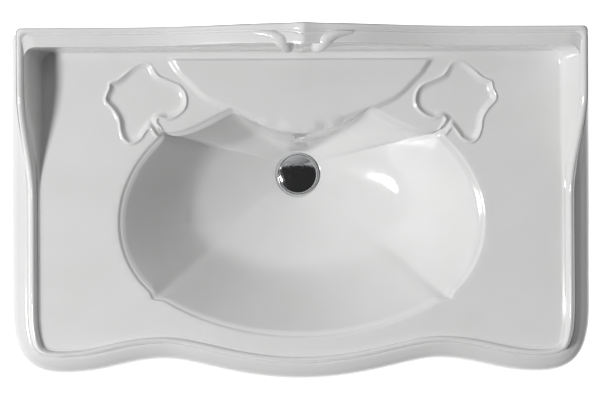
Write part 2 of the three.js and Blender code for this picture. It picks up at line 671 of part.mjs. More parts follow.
place("trap_outlet_washer", MATERIAL.rubber, layDown(tube(18.8, 16.3, 52.3, 55)), AT_ARM);
const outletNut = couplingNut(44, 19.3, TRAP.pipe + GAP, -59, -38, 3.7).rotateX(Math.PI);
place("trap_outlet_nut", MATERIAL.chrome, layDown(outletNut), AT_ARM);
place("trap_arm", MATERIAL.chrome, layDown(tube(TRAP.pipe, TRAP.bore, ARM.start, ARM.end)), AT_ARM);
place("wall_flange", MATERIAL.chrome, layDown(wallFlange()), AT_ARM);

for (const [side, sign] of SIDES) {
  for (const [name, [material, shape]] of Object.entries(hangerPieces())) {
    const position = [sign * HANGER.x, WALL_Y, HANGER.z];
    place(`hanger_${name}_${side}`, material, shape.rotateX(Math.PI / 2), position);
  }
  for (const [name, [material, shape]] of Object.entries(floorPieces())) {
    place(`floor_${name}_${side}`, material, shape, [sign * PEDESTAL_SCREW.x, PEDESTAL_SCREW.y, 0]);
  }
}

export default group;
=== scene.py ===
"""Looks of a pedestal washbasin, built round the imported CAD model.

Shapes are drawn in millimetres in the CAD frame (+X right, +Y to the wall, +Z up) and made in metres.
"""

from math import copysign, cos, exp, hypot, log1p, pi, radians, sin, sqrt

import bmesh
import bpy
import numpy as np
from mathutils import Matrix, Vector
from mathutils.geometry import delaunay_2d_cdt


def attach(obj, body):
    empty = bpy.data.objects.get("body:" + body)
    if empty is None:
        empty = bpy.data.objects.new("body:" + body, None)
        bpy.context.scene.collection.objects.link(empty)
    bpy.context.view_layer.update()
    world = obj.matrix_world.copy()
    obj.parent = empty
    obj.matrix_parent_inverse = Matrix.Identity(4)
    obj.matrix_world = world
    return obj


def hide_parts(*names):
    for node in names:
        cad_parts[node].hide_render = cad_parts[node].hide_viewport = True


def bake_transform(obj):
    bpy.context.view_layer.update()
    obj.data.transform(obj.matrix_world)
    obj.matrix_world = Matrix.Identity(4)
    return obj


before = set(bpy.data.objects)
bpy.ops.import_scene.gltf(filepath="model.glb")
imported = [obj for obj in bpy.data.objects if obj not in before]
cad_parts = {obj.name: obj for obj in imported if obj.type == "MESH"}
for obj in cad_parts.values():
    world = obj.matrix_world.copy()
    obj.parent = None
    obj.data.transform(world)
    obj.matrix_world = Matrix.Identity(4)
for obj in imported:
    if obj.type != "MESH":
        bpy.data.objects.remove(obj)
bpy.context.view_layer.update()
MM = 0.001

# -------- driving dimensions, millimetres
HALF = 425.0  # half the basin's width
WALL_Y = 253.0
DECK_Z = 840.0
EDGE_Z = 778.0  # lowest edge of the rim moulding
CORNER_START_Y = -140.0

RIDGE = dict(front=5.0, low=9.5, wing=55.0, crest=46.0, crest_half=320.0, peak=8.0, peak_half=34.0)
WING_SWEEP = (15.0, 165.0)

DRAIN = dict(y=48.5, hole=23.0, dish=36.0)
LEDGE = dict(width=11.0, drop=4.0, slope=2.8)
LEDGE_Z = DECK_Z - LEDGE["drop"]
BOWL_DEPTH = 137.0
BOWL_WALL = 13.0
BOWL_FALL = dict(steep=1.72, gentle=0.66, bend=0.41, softness=0.035)
SEAT_Z = LEDGE_Z - BOWL_DEPTH - 2
BOSS_Z = 664.0
UNDER_DECK_Z = DECK_Z - 15

CREASE = 110  # how far the bowl's creases are smoothed out by its foot
SWELL = dict(out=3.0, half=110.0)  # how far the face under the crest stands forward
KEEL = dict(out=7.0, top_half=21.0, foot_half=9.0)  # and the ridge down its middle

TAP_LEDGE = dict(rise=6.0, half_run=4.5)
LEAF_RECESS = dict(depth=4.0, run=(0.5, 8.5), fade=(170, 206))
LEAF_BEAD = dict(half_width=3.6, rise=2.6, fade=(186, 204))

HANGER = dict(x=140.0, z=748.0, hole=8.0, stud=5.0)
BACK_PLATE = dict(half_width=300.0, low=700.0, high=EDGE_Z + 40, thick=18.0)
OVERFLOW = dict(
    bore=8.0,
    bore_ends=((0, 80, 792), (0, 64, 682)),
    boss=15.0,
    boss_ends=((0, 116, 792), (0, 84, 682)),
)
OVERFLOW_ROUTE = [(0, 118, 792), (0, 127, 780), (0, 127, 740), (0, 115, 704), (0, 96, 685)]

# Each scroll of the crest: distance from the middle, Y, height from the crest's top, radius.
SCROLL = [
    (66, 240, -1.5, 2.5), (54, 238.5, -2, 4.5), (44, 236.5, -3, 6.6), (36, 233, -4.5, 8.6),
    (29.5, 229, -6.5, 9.8), (25, 225, -11, 9.6), (21.5, 222, -19, 8.4), (19, 221.5, -30, 6.8),
    (17, 222, -43, 5.2), (15.5, 222.5, -56, 3.2),
]

# Height and half-width up the column, whose front is as far from its axis as its sides are.
COLUMN = [
    (0, 126), (2, 128), (24, 128), (27, 126), (29, 121.5), (33, 120.5), (38, 122), (45, 123),
    (52, 121), (62, 114), (76, 105), (96, 98.5), (130, 94), (200, 89.5), (300, 86), (390, 85.5),
    (470, 87), (530, 91), (580, 97), (620, 105), (634, 110), (640, 113.5), (643, 118), (648, 120.8),
    (654, 121.6), (660, 120.6), (664, 117.6), (668, 116.4), (680, 117.4), (700, 120), (726, 123),
]
PEDESTAL = dict(y=46.0, back=150.0, wall=14.0, squareness=0.85, front_steps=32)
FLOOR_SCREW = dict(x=97.0, y=112.0, hole=4.5, lug=12.0)

WASTE = dict(thread=20.6, bore=17.0, low=600.0, flange=32.0, seat=SEAT_Z + 2.1, bridge=644.0, stem=672.0)
CAP_Z = WASTE["seat"] + 3.5
CARTRIDGE = dict(foot=639.0, low=651.3, floor=654.0, high=694.0, outer=9.0, bore=5.4)
TRAP = dict(pipe=16.0, bore=14.5, arm_z=541.0)

# -------- camera and light, metres and watts
CAMERA = dict(place=(-0.070, 0.033, 2.78), lens=81.4, shift=(0.0796, -0.0255), roll=-0.27)
KEY_LAMP = dict(place=(-4.15, -1.15, 5.4), target=(0, 0, 0.8), size=1.1, watts=322)
LIGHT = dict(
    horizon_left=0.05,
    horizon_right=0.7,
    back=0.55,
    overhead=0.03,
    floor_glow=0.95,
    floor_reach=(0.75, 1.9),
    foot_reach=(0.2, 0.34),
)


# -------- small maths
def lerp(a, b, t):
    return a + (b - a) * t


def smoothstep(x, low, high):
    t = np.clip((x - low) / (high - low), 0, 1)
    return t * t * (3 - 2 * t)


def bezier(points, t):
    """Point and unit tangent of a cubic Bezier curve in the plane."""
    p = np.array(points, float)
    s = 1 - t
    spot = s**3 * p[0] + 3 * s * s * t * p[1] + 3 * s * t * t * p[2] + t**3 * p[3]
    along = s * s * (p[1] - p[0]) + 2 * s * t * (p[2] - p[1]) + t * t * (p[3] - p[2])
    return spot, along / max(np.hypot(*along), 1e-9)


def straight(a, b):
    return [a, lerp(np.array(a), np.array(b), 1 / 3), lerp(np.array(a), np.array(b), 2 / 3), b]


def piece_at(path, v):
    """The curve of a path that holds v, and how far along it v is; a path lists (end of range, curve)."""
    start = 0.0
    for end, curve in path:
        if v <= end + 1e-9:
            return curve, min(1.0, (v - start) / (end - start))
        start = end
    return path[-1][1], 1.0


def catmull_rom(points, per_span, closed=False):
    """A smooth line through points, with per_span steps between neighbours."""
    p = np.array(points, float)
    if closed:
        p = np.vstack([p[-1:], p, p[:2]])
    else:
        p = np.vstack([2 * p[:1] - p[1:2], p, 2 * p[-1:] - p[-2:-1]])
    t = (np.arange(per_span) / per_span)[:, None]
    line = []
    for a, b, c, d in zip(p, p[1:], p[2:], p[3:]):
        square, cube = 2 * a - 5 * b + 4 * c - d, 3 * b - a - 3 * c + d
        line.append(0.5 * (2 * b + (c - a) * t + square * t**2 + cube * t**3))
    joined = np.vstack(line)
    return joined if closed else np.vstack([joined, p[-2:-1]])


# -------- stations round the basin
# An outline is a right-hand half, from the back centre (v = 0) to the front centre (v = 1), and its mirror.
SPANS = [
    (0.0, 0.03, 22), (0.03, 0.16, 34), (0.16, 0.3, 34), (0.3, 0.32, 12), (0.32, 0.34, 12),
    (0.34, 0.6, 44), (0.6, 0.655, 12), (0.655, 0.665, 6), (0.665, 0.68, 8), (0.68, 0.73, 14),
    (0.73, 0.86, 34), (0.86, 1.0, 36),
]
LEVELS = np.concatenate([np.linspace(a, b, n, endpoint=False) for a, b, n in SPANS] + [[1.0]])
BACK_END, BACK_CORNER_END, SIDE_END = 0.3, 0.34, 0.6
FRONT_PATH = [
    (0.73, [(HALF, CORNER_START_Y), (HALF, -212), (405, -243.7), (344, -243.7)]),
    (0.86, [(344, -243.7), (284, -243.7), (253, -223.9), (198.5, -223.9)]),
    (1.0, [(198.5, -223.9), (158, -223.9), (95, -253), (0, -253)]),
]
LEDGE_END, EAR_START = 0.16, 0.655
MOUTH_PATH = [
    (LEDGE_END, [(0, 107), (33, 107), (66, 119.7), (99, 145)]),
    (0.3, [(99, 145), (130, 134), (168, 104), (196, 110)]),
    (0.32, straight((196, 110), (207, 117))),
    (0.34, straight((207, 117), (203, 105))),
    (EAR_START, [(203, 105), (281.7, 36), (281.7, -68), (219, -122)]),
    (0.665, straight((219, -122), (216, -132))),
    (0.68, straight((216, -132), (200, -134))),
    (1.0, [(200, -134), (150, -165), (80, -188.5), (0, -188.5)]),
]
BELLY_PATH = [
    (LEDGE_END, [(0, 107), (33, 107), (66, 125), (99, 138)]),
    (0.34, [(99, 138), (135, 152), (178, 141), (207, 112)]),
    (EAR_START, [(207, 112), (281.7, 36), (281.7, -68), (219, -122)]),
    (1.0, [(219, -122), (160, -172), (80, -188.5), (0, -188.5)]),
]


def ring(point_at, soften=0):
    """A ring of points from a function of v, clockwise from above; soften rounds its tight corners."""
    half = np.array([point_at(v) for v in LEVELS])
    whole = np.vstack([half, half[-2:0:-1] * (-1, 1, 1)])
    for _ in range(soften):
        whole = 0.5 * whole + 0.25 * (np.roll(whole, 1, 0) + np.roll(whole, -1, 0))
    return whole


def crest_rise(x):
    bell = 0.5 + 0.5 * cos(pi * min(1.0, abs(x) / RIDGE["crest_half"]))
    peak = max(0.0, 1 - hypot(x, 3) / RIDGE["peak_half"])
    return RIDGE["crest"] * bell**2 + RIDGE["peak"] * peak**2


# Lines along the rim, from its lowest outer edge over the bead to the deck, then back under it. Each has its
# inset at the low side, the wing, the front and the back; its height above a base (0 the lowest edge, 1 the
# top of the bead, 2 the deck); that base; its radius in the corners; and its height at the back.
RIM = [
    (0, 0, 0, 0, 0, 0, 6, 0), (0.2, 0.2, 0.2, 0, 3, 0, 6, 3), (1.2, 1.2, 1, 0, 12, 0, 6, 12),
    (3, 3, 2.4, 0, 20, 0, 6, 20), (6, 6, 4.8, 0, 28, 0, 6, 28), (10, 9.6, 8, 0, 35, 0, 6, 35),
    (15.5, 14, 12.4, 0, 41, 0, 6, 41), (22, 18.4, 18, 0, 46, 0, 6, 46), (28, 22, 24, 0, 49, 0, 6, 49),
    (30.4, 23.6, 26.8, 0, 49.6, 0, 6, 49.6), (31.6, 24.6, 28.2, 0, 49.2, 0, 6, 50),
    (32.8, 25.4, 29.6, 0, 50.4, 0, 6, 52), (34.6, 26.2, 31.2, 0.2, -10, 1, 6.5, -10),
    (36, 26.8, 32, 0.4, -7, 1, 7, -6), (37.6, 27.8, 33, 1.2, -3.4, 1, 8, -2),
    (39.4, 29.2, 34.2, 3, -0.9, 1, 9, -0.3), (41.2, 31, 35.6, 5.6, 0, 1, 10, 0),
    (42.4, 32.6, 36.4, 7.8, -0.1, 1, 10.5, -1.2), (43.2, 33.8, 36.9, 8.8, -0.5, 1, 11, -2.8),
    (44, 34.8, 37.4, 9.8, -1.1, 1, 11.5, -2.9), (44.7, 35.7, 37.9, 11.2, -1.9, 1, 12, -0.9),
    (45.3, 36.5, 38.4, 13.6, -2.9, 1, 13, -0.2), (45.9, 37.2, 38.9, 20, -4.2, 1, 14, -0.2),
    (46.4, 37.9, 39.3, 26, -5.6, 1, 15, -0.8), (47, 38.6, 39.7, 28, -7, 1, 16, -4.4),
]
COVE = [
    (47.8, 47, 40.3, 28.6, 18, 2, 17.5, 18), (48.4, 49.6, 40.7, 28.9, 9, 2, 19, 9),
    (49.4, 52, 41.3, 29.6, 3.2, 2, 20.5, 3.4), (51.4, 54.6, 42.6, 31.4, 0.5, 2, 22, 1.2),
    (55, 59, 46, 36, 0, 2, 24, 0.3), (60, 64, 50, 43, 0, 2, 26, 0),
]
UNDER = [
    (58, 58, 47, 40, -15, 2, 22, -15), (40, 42, 36, 24, 34, 0, 18, 34), (24, 25, 22, 20, 29, 0, 12, 29),
    (11, 11, 10, 17, 18, 0, 6, 18), (9, 9, 8, 16, 4, 0, 6, 4), (7.5, 7.5, 7, 14, -0.4, 0, 6, -0.4),
    (2, 2, 2, 3, -0.6, 0, 6, -0.6),
]
KEEL_START = 15  # the first line of RIM that the keel draws forward


def station_height(dz, base, ridge):
    if base == 0:
        return EDGE_Z + dz
    share = min(1.0, 0.35 + ridge / 16)
    if base == 1:
        return DECK_Z + ridge + dz * share
    return DECK_Z + min(dz, 0.7 * (ridge - 7 * share))


def rim_point(station, v):
    low, wing, front, back, dz, base, corner, back_dz = station
    back_y = WALL_Y - back
    corner_x, corner_y = HALF - wing - corner, back_y - corner
    if v <= BACK_END:
        x = corner_x * v / BACK_END
        return x, back_y, station_height(back_dz, base, RIDGE["wing"] + crest_rise(x))
    if v <= BACK_CORNER_END:
        share = (v - BACK_END) / (BACK_CORNER_END - BACK_END)
        turn = share * pi / 2
        x, y = corner_x + corner * sin(turn), corner_y + corner * cos(turn)
        return x, y, station_height(lerp(back_dz, dz, share), base, RIDGE["wing"])
    if v <= SIDE_END:
        y = lerp(corner_y, CORNER_START_Y, (v - BACK_CORNER_END) / (SIDE_END - BACK_CORNER_END))
        share = smoothstep(y, *WING_SWEEP)
        height = station_height(dz, base, lerp(RIDGE["low"], RIDGE["wing"], share))
        return HALF - lerp(low, wing, share), y, height
    curve, along = piece_at([(SIDE_END, None), *FRONT_PATH], v)
    spot, tangent = bezier(curve, along)
    inset = lerp(low, front, smoothstep(v, SIDE_END, FRONT_PATH[0][0]))
    ridge = lerp(RIDGE["low"], RIDGE["front"], (v - SIDE_END) / (1 - SIDE_END))
    return spot[0] + tangent[1] * inset, spot[1] - tangent[0] * inset, station_height(dz, base, ridge)


# -------- the deck: tap ledge and soap recesses
LEAF = catmull_rom(
    [
        (238, 203), (259, 185), (272, 179), (274, 171), (279, 155), (267, 140), (260, 127), (257.5, 111),
        (252, 98), (243, 93), (231, 98), (222, 110), (212, 122), (203, 130), (190, 127.5), (176, 133),
        (165, 145), (164.5, 161), (173, 174), (190, 182), (205, 189.5), (215, 205), (226, 208),
    ],
    9,
    closed=True,
)
GULLY = dict(start=(219, 131), end=(203, 108), radius=5.5)
TAP_SIDE = catmull_rom(
    [
        (204, 240), (190.9, 219.3), (175.1, 194.6), (162.2, 180.8),
        (139.1, 158.8), (116, 147), (92, 138), (60, 128),
    ],
    9,
)


def to_line(points, line, closed=False):
    """Distance of each point to a polyline, and which side of its nearest stretch it is on."""
    ends = np.roll(line, -1, 0) if closed else line[1:]
    starts = line if closed else line[:-1]
    best = np.full(len(points), 1e9)
    side = np.zeros(len(points))
    for a, b in zip(starts, ends):
        run = b - a
        t = np.clip(((points - a) @ run) / (run @ run), 0, 1)
        off = points - a - t[:, None] * run
        distance = np.hypot(off[:, 0], off[:, 1])
        nearer = distance < best
        best[nearer] = distance[nearer]
        side[nearer] = (run[0] * off[:, 1] - run[1] * off[:, 0])[nearer]
    return best, np.sign(side)


def inside(points, line):
    """Which points lie inside a closed polyline."""
    result = np.zeros(len(points), bool)
    x, y = points[:, 0], points[:, 1]
    for (ax, ay), (bx, by) in zip(line, np.roll(line, -1, 0)):
        if ay == by:
            continue
        crosses = (ay > y) != (by > y)
        result ^= crosses & (x < (bx - ax) * (y - ay) / (by - ay) + ax)
    return result


def fold(points):
    """The points with those on the left mirrored to the right."""
    return np.column_stack([np.abs(points[:, 0]), points[:, 1]])


def leaf_distance(points):
    """Signed distance to the edge of the soap recess and its gully, negative inside."""
    folded = fold(points)
    distance, _ = to_line(folded, LEAF, closed=True)
    distance[inside(folded, LEAF)] *= -1
    gully, _ = to_line(folded, np.array([GULLY["start"], GULLY["end"]], float))
    gully -= GULLY["radius"]
    blend = 5.0
    share = np.clip(0.5 + (distance - gully) / (2 * blend), 0, 1)
    return lerp(distance, gully, share) - blend * share * (1 - share)


def tap_ledge_distance(points):
    """Signed distance to the side edge of the tap ledge, positive on the ledge."""
    distance, side = to_line(fold(points), TAP_SIDE)
    return -distance * side


def deck_relief(points):
    """Height above the deck at plan points."""
    leaf = leaf_distance(points)
    bead = np.cos(np.clip(leaf / LEAF_BEAD["half_width"], -1, 1) * pi / 2) ** 2
    faded = 1 - 0.75 * smoothstep(points[:, 1], *LEAF_BEAD["fade"])
    relief = LEAF_BEAD["rise"] * bead * faded
    sunk = smoothstep(-leaf, *LEAF_RECESS["run"])
    relief -= LEAF_RECESS["depth"] * sunk * (1 - 0.5 * smoothstep(points[:, 1], *LEAF_RECESS["fade"]))
    ledge = tap_ledge_distance(points)
    relief += TAP_LEDGE["rise"] * smoothstep(ledge, -TAP_LEDGE["half_run"], TAP_LEDGE["half_run"])
    return relief


def deck_samples():
    """Plan points that follow the relief on the deck: lines beside each edge, and a plain grid between."""
    def beside(line, offsets, closed):
        following = np.roll(line, -1, 0) - np.roll(line, 1, 0) if closed else np.gradient(line, axis=0)
        normal = np.column_stack([following[:, 1], -following[:, 0]])
        normal /= np.hypot(*normal.T)[:, None]
        return np.vstack([line + normal * offset for offset in offsets])

    steps = np.array([0.9, 1.8, 2.8, 4, 5.4, 7, 9, 12, 16])
    leaf = beside(LEAF, [*-steps[::-1], 0, *steps], True)
    gully_line = np.linspace(GULLY["start"], GULLY["end"], 12)
    gully = beside(gully_line, np.linspace(-11, 11, 17), False)
    tap = beside(TAP_SIDE, [-9, -6.5, -4.8, -3.4, -2.2, -1, 0, 1, 2.2, 3.4, 4.8, 6.5, 9], False)
    right = np.vstack([leaf, gully, tap])
    grid = np.stack(np.meshgrid(np.arange(-380, 381, 9.0), np.arange(-215, 226, 9.0)), -1).reshape(-1, 2)
    far = leaf_distance(grid) > 14
    far &= np.abs(tap_ledge_distance(grid)) > 10
    return np.vstack([right, right * (-1, 1), grid[far]])


def thin_out(points, cell):
    """At most one point in each square cell, so no two crowd each other."""
    _, keep = np.unique(np.round(points / cell).astype(int), axis=0, return_index=True)
    return points[np.sort(keep)]


# -------- the bowl
def ledge_width(v):
    return lerp(2.0, LEDGE["width"], smoothstep(v, LEDGE_END - 0.06, LEDGE_END + 0.04))


def mouth_point(v, inset, path=MOUTH_PATH):
    spot, _ = bezier(*piece_at(path, v))
    inwards = np.array((0.0, -20.0)) - spot
    return spot + inwards / np.hypot(*inwards) * inset


def slopes(u):
    f = BOWL_FALL
    past_bend = log1p(exp((u - f["bend"]) / f["softness"]))
    return f["steep"] * u - (f["steep"] - f["gentle"]) * f["softness"] * past_bend


def fall(u):
    return slopes(u) - (slopes(1) - 1) * u**3


def bowl_point(u, v, path=MOUTH_PATH):
    brink = mouth_point(v, ledge_width(v), path)
    dish = np.array((sin(pi * v), cos(pi * v))) * DRAIN["dish"] + (0, DRAIN["y"])
    z = LEDGE_Z - LEDGE["slope"] - (BOWL_DEPTH - LEDGE["slope"]) * fall(u)
    return lerp(brink, dish, u), brink - dish, z


def belly_point(u, v, thickness):
    spot, outwards, z = bowl_point(u, v, BELLY_PATH)
    step = 0.01
    high = min(1.0, u + step)
    drop = BOWL_DEPTH * (fall(high) - fall(u - step)) / (high - u + step)
    run = np.hypot(*outwards)
    slant = hypot(drop, run)
    x, y = spot + outwards / run * thickness * drop / slant
    return x, y, min(z - thickness * run / slant, UNDER_DECK_Z - 5)


def circle_at(radius, z):
    return lambda v: (radius * sin(pi * v), DRAIN["y"] + radius * cos(pi * v), z)


# How far down the bowl's inside, and up its outside, its rings lie: 0 at the brink, 1 at the waste.
BOWL_LEVELS = [
    0, 0.008, 0.02, 0.04, 0.065, 0.095, 0.13, 0.17, 0.21, 0.25, 0.29, 0.325, 0.355, 0.385, 0.415, 0.445,
    0.48, 0.52, 0.57, 0.63, 0.7, 0.77, 0.84, 0.9, 0.95, 1.0,
]
BELLY_LEVELS = [0.85, 0.72, 0.6, 0.5, 0.43, 0.36, 0.28, 0.2, 0.12, 0.05]


# -------- mesh helpers
def ring_faces(start, count, rows):
    """Quads between rows of one closed skin, each row a ring of count points, from the index start."""
    a = np.arange(count)
    b = (a + 1) % count
    quads = []
    for row in range(rows - 1):
        low, high = start + row * count, start + (row + 1) * count
        quads.append(np.column_stack([low + a, low + b, high + b, high + a]))
    return np.vstack(quads).tolist()


def new_object(name, data):
    made = bpy.data.objects.new(name, data)
    bpy.context.scene.collection.objects.link(made)
    return made


def make(name, points, faces, sharp=40):
    """An object from points in millimetres, smooth but for edges sharper than that many degrees."""
    mesh = bpy.data.meshes.new(name)
    mesh.from_pydata((np.array(points, float) * MM).tolist(), [], faces)
    bm = bmesh.new()
    bm.from_mesh(mesh)
    bmesh.ops.remove_doubles(bm, verts=bm.verts, dist=1e-6)
    bmesh.ops.recalc_face_normals(bm, faces=bm.faces)
    bm.to_mesh(mesh)
    bm.free()
    return smooth(new_object(name, mesh), sharp)


def smooth(piece, sharp=40):
    piece.data.shade_smooth()
    piece.data.set_sharp_from_angle(angle=radians(sharp))
    return piece


def combine(target, tool, operation):
    """Adds or cuts a closed tool, which is then gone."""
    modifier = target.modifiers.new("combine", "BOOLEAN")
    modifier.object = tool
    modifier.operation = operation
    modifier.solver = "MANIFOLD"
    with bpy.context.temp_override(object=target, active_object=target, selected_objects=[target]):
        bpy.ops.object.modifier_apply(modifier=modifier.name)
    bpy.data.objects.remove(tool)
    return smooth(target)


def join(target, tool):
    return combine(target, tool, "UNION")


def cut(target, tool):
    return combine(target, tool, "DIFFERENCE")


def loft(name, rings, sharp=40):
    """A skin over rings of equal length, capped at both ends."""
    count = len(rings[0])
    last = (len(rings) - 1) * count
    faces = ring_faces(0, count, len(rings))
    faces += [list(range(count)), list(range(last, last + count))]
    return make(name, np.vstack(rings), faces, sharp)


def sweep(name, route, radii, sides=24, per_span=8):
    """A round bar with rounded ends along a smooth route; radii are given at the route's points."""
    line = catmull_rom(np.column_stack([route, radii]), per_span)
    path, radius = line[:, :3], line[:, 3]
    along = np.gradient(path, axis=0)
    along /= np.linalg.norm(along, axis=1)[:, None]
    normal = np.cross(along[0], (0.3, 0.2, 1.0))
    angles = np.linspace(0, 2 * pi, sides, endpoint=False)
    stops = []
    for spot, direction, r in zip(path, along, radius):
        normal = normal - direction * (normal @ direction)
        normal /= np.linalg.norm(normal)
        spokes = np.cos(angles)[:, None] * normal + np.sin(angles)[:, None] * np.cross(direction, normal)
        stops.append((spot, direction, r, spokes))

    def rounded_end(spot, direction, r, spokes):
        turns = np.radians([80, 55, 30])
        return [spot + direction * r * sin(t) + r * cos(t) * spokes for t in turns]

    first, last = stops[0], stops[-1]
    start = rounded_end(first[0], -first[1], *first[2:])
    middle = [spot + r * spokes for spot, _, r, spokes in stops]
    return loft(name, [*start, *middle, *rounded_end(*last)[::-1]])


# -------- basin
def keel(rows):
    """Draws the upstand's inner face forward under the crest: a slow swell, and a ridge down its middle."""
    for depth, row in enumerate(rows):
        across = np.hypot(row[:, 0], 3)
        low = depth / (len(rows) - 1)
        half = lerp(KEEL["top_half"], KEEL["foot_half"], low)
        behind = row[:, 1] > 150
        bell = np.cos(np.clip(across / SWELL["half"], 0, 1) * pi / 2) ** 2
        swell = SWELL["out"] * bell * (1 - low)
        ridge = KEEL["out"] * smoothstep(depth, 0, 5) * (1 - low) * np.clip(1 - across / half, 0, 1)
        row[behind, 1] -= (swell + ridge)[behind]
    return rows


def rim_rings(stations):
    return [ring(lambda v, s=s: rim_point(s, v)) for s in stations]


def belly_rings(thickness):
    """The outside of the bowl, from its foot up to the underside of the deck."""
    rings = [ring(lambda v, u=u: belly_point(u, v, thickness), soften=8) for u in BELLY_LEVELS]
    root = ring(lambda v: (*belly_point(BELLY_LEVELS[-1], v, thickness + 8)[:2], UNDER_DECK_Z), soften=8)
    return [*rings, root]


def upper_rings():
    """From the rim's lowest edge over the bead to the foot of its cove, which lies on the deck."""
    outer, inner = rim_rings(RIM), rim_rings(COVE)
    keel([*outer[KEEL_START:], *inner])
    raised = [*outer, *inner]
    fine = np.array([catmull_rom(np.array([row[i] for row in raised]), 2) for i in range(len(raised[0]))])
    rim = [fine[:, i] for i in range(fine.shape[1])]
    rim[-1] = on_deck(rim[-1])
    return rim


def mouth_rings():
    """The rounded brink of the bowl and the narrow ledge inside it."""
    rings = []
    for inset, drop in [(0, 0.0), (1.1, 0.3), (2.2, 1.1), (3.2, 2.2), (4.2, 3.2), (5.2, 3.8), (6.2, 4.1)]:
        row = ring(lambda v, i=inset: (*mouth_point(v, min(i, ledge_width(v) * 0.1 * i)), 0), soften=4)
        row[:, 2] = lerp(on_deck(row)[:, 2], LEDGE_Z, drop / 4.0)
        rings.append(row)
    for share, drop in [(0.68, 0.6), (0.8, 1.4), (0.9, 2.1)]:
        row = ring(lambda v, i=share: (*mouth_point(v, ledge_width(v) * i), 0), soften=4)
        row[:, 2] = LEDGE_Z - drop
        rings.append(row)
    return rings


def lower_rings():
    """From the bowl's mouth down to the waste, then up the outside of the bowl and out under the deck."""
    bowl = []
    for u in BOWL_LEVELS:
        bowl.append(ring(lambda v, u=u: flat(bowl_point(u, v)), soften=int(8 + CREASE * u**0.6)))
    hole = DRAIN["hole"]
    waste = [(34.5, SEAT_Z + 1.7), (33.6, SEAT_Z + 0.6), (33, SEAT_Z), (hole + 0.4, SEAT_Z)]
    waste += [(hole, SEAT_Z - 0.4), (hole, BOSS_Z), (41.5, BOSS_Z), (42.4, BOSS_Z + 1), (46, BOSS_Z + 16)]
    waste = [ring(circle_at(r, z)) for r, z in waste]
    return [*mouth_rings(), *bowl, *waste, *belly_rings(BOWL_WALL), *rim_rings(UNDER)]


def flat(bowl):
    spot, _, z = bowl
    return spot[0], spot[1], z


def on_deck(row):
    """A ring set on the deck's relief."""
    lifted = row.copy()
    lifted[:, 2] = DECK_Z + deck_relief(row[:, :2])
    return lifted


def deck_skin(outer, mouth):
    """Triangles of the deck between two rings, whose points come first and keep their order."""
    count = len(outer)
    edge, hole = outer[:, :2], mouth[:, :2]
    samples = thin_out(deck_samples(), 0.8)
    room = inside(samples, edge) & ~inside(samples, hole)
    clear = np.minimum(to_line(samples, edge, True)[0], to_line(samples, hole, True)[0]) > 1.2
    points = np.vstack([edge, hole, samples[room & clear]])
    edges = [(i, (i + 1) % count) for i in range(count)]
    edges += [(count + a, count + b) for a, b in edges]
    made, _, faces, origins, *_ = delaunay_2d_cdt([Vector(p) for p in points], edges, [], 0, 1e-5)
    plan = np.array([tuple(p) for p in made])
    middles = np.array([plan[list(f)].mean(0) for f in faces])
    kept = inside(middles, edge) & ~inside(middles, hole)
    order = [o[0] for o in origins]
    triangles = [[order[i] for i in face] for face, keep in zip(faces, kept) if keep]
    free = points[2 * count:]
    heights = DECK_Z + deck_relief(free)
    return triangles, np.column_stack([free, heights])


def basin_body():
    rim, rest = upper_rings(), lower_rings()
    count = len(rim[0])
    triangles, free = deck_skin(rim[-1], rest[0])
    rim_size, rest_size = len(rim) * count, len(rest) * count
    foot, mouth, loose = rim_size - count, rim_size, rim_size + rest_size
    faces = ring_faces(0, count, len(rim)) + ring_faces(rim_size, count, len(rest))
    last = loose - count
    faces += [[last + i, last + (i + 1) % count, (i + 1) % count, i] for i in range(count)]

    def index(i):
        if i < count:
            return foot + i
        return mouth + i - count if i < 2 * count else loose + i - 2 * count

    faces += [[index(i) for i in triangle] for triangle in triangles]
    return make("basin_body", np.vstack([*rim, *rest, free]), faces)


def rounded_box(name, low, high, radius):
    """A box standing along Y, with its corners rounded in X and Z and its front edge eased."""
    (x0, y0, z0), (x1, y1, z1) = low, high
    ease = 2.0

    def outline(y, inset):
        points = []
        for x, z, quarter in [(x1, z1, 0), (x0, z1, 1), (x0, z0, 2), (x1, z0, 3)]:
            middle_x = x - copysign(radius, x - (x0 + x1) / 2)
            middle_z = z - copysign(radius, z - (z0 + z1) / 2)
            for turn in np.linspace(0, pi / 2, 7) + quarter * pi / 2:
                reach = radius - inset
                points.append((middle_x + reach * cos(turn), y, middle_z + reach * sin(turn)))
        return np.array(points)

    slices = [(y0, ease), (y0 + ease * 0.3, ease * 0.3), (y0 + ease, 0), (y1, 0)]
    return loft(name, [outline(y, inset) for y, inset in slices])


def crest_scroll(side):
    """A tapering scroll that runs in from the bead and curls down the face of the crest."""
    route = [(side * x, y, DECK_Z + RIDGE["wing"] + crest_rise(x) + dz) for x, y, dz, _ in SCROLL]
    return sweep("crest_scroll", route, [stop[3] for stop in SCROLL], per_span=7)


def basin():
    body = basin_body()
    p = BACK_PLATE
    low, high = (-p["half_width"], WALL_Y - p["thick"], p["low"]), (p["half_width"], WALL_Y, p["high"])
    join(body, rounded_box("plate", low, high, 12))
    start, end = OVERFLOW["boss_ends"]
    boss = sweep("boss", [start, *OVERFLOW_ROUTE[1:], end], [3, *[OVERFLOW["boss"]] * 5])
    join(body, boss)
    for side in (-1, 1):
        join(body, crest_scroll(side))
        hole = turned("hole", rod(HANGER["hole"], -40, 40), 32, 0)
        cut(body, from_wall(hole, side * HANGER["x"], HANGER["z"]))
    start, end = OVERFLOW["bore_ends"]
    bore = sweep("bore", [start, *OVERFLOW_ROUTE, end], [OVERFLOW["bore"]] * 7)
    cut(body, bore)
    return body


